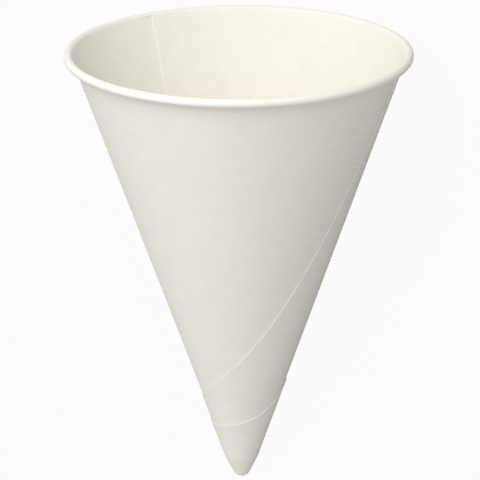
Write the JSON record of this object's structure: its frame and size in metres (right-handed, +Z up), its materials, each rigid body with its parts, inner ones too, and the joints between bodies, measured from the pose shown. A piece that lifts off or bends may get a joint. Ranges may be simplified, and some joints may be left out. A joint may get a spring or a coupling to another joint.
{
  "type": "cone paper cup",
  "caption": "White conical paper cup wound from one sheet, with a rolled rim, a slanting lap seam and a crushed point.",
  "frame": {"origin": "centre of the cup's box, on the surface that the cup lies on", "axes": "+Z up; the cup lies on its doubled, heavier side with its mouth toward +Y and its point toward -Y"},
  "size_m": [0.073, 0.1012, 0.0684],
  "materials": {
    "cup_paper": "matt uncoated white paper"
  },
  "bodies": {
    "root": {"wound_paper_cup": "cup_paper"}
  },
  "joints": []
}
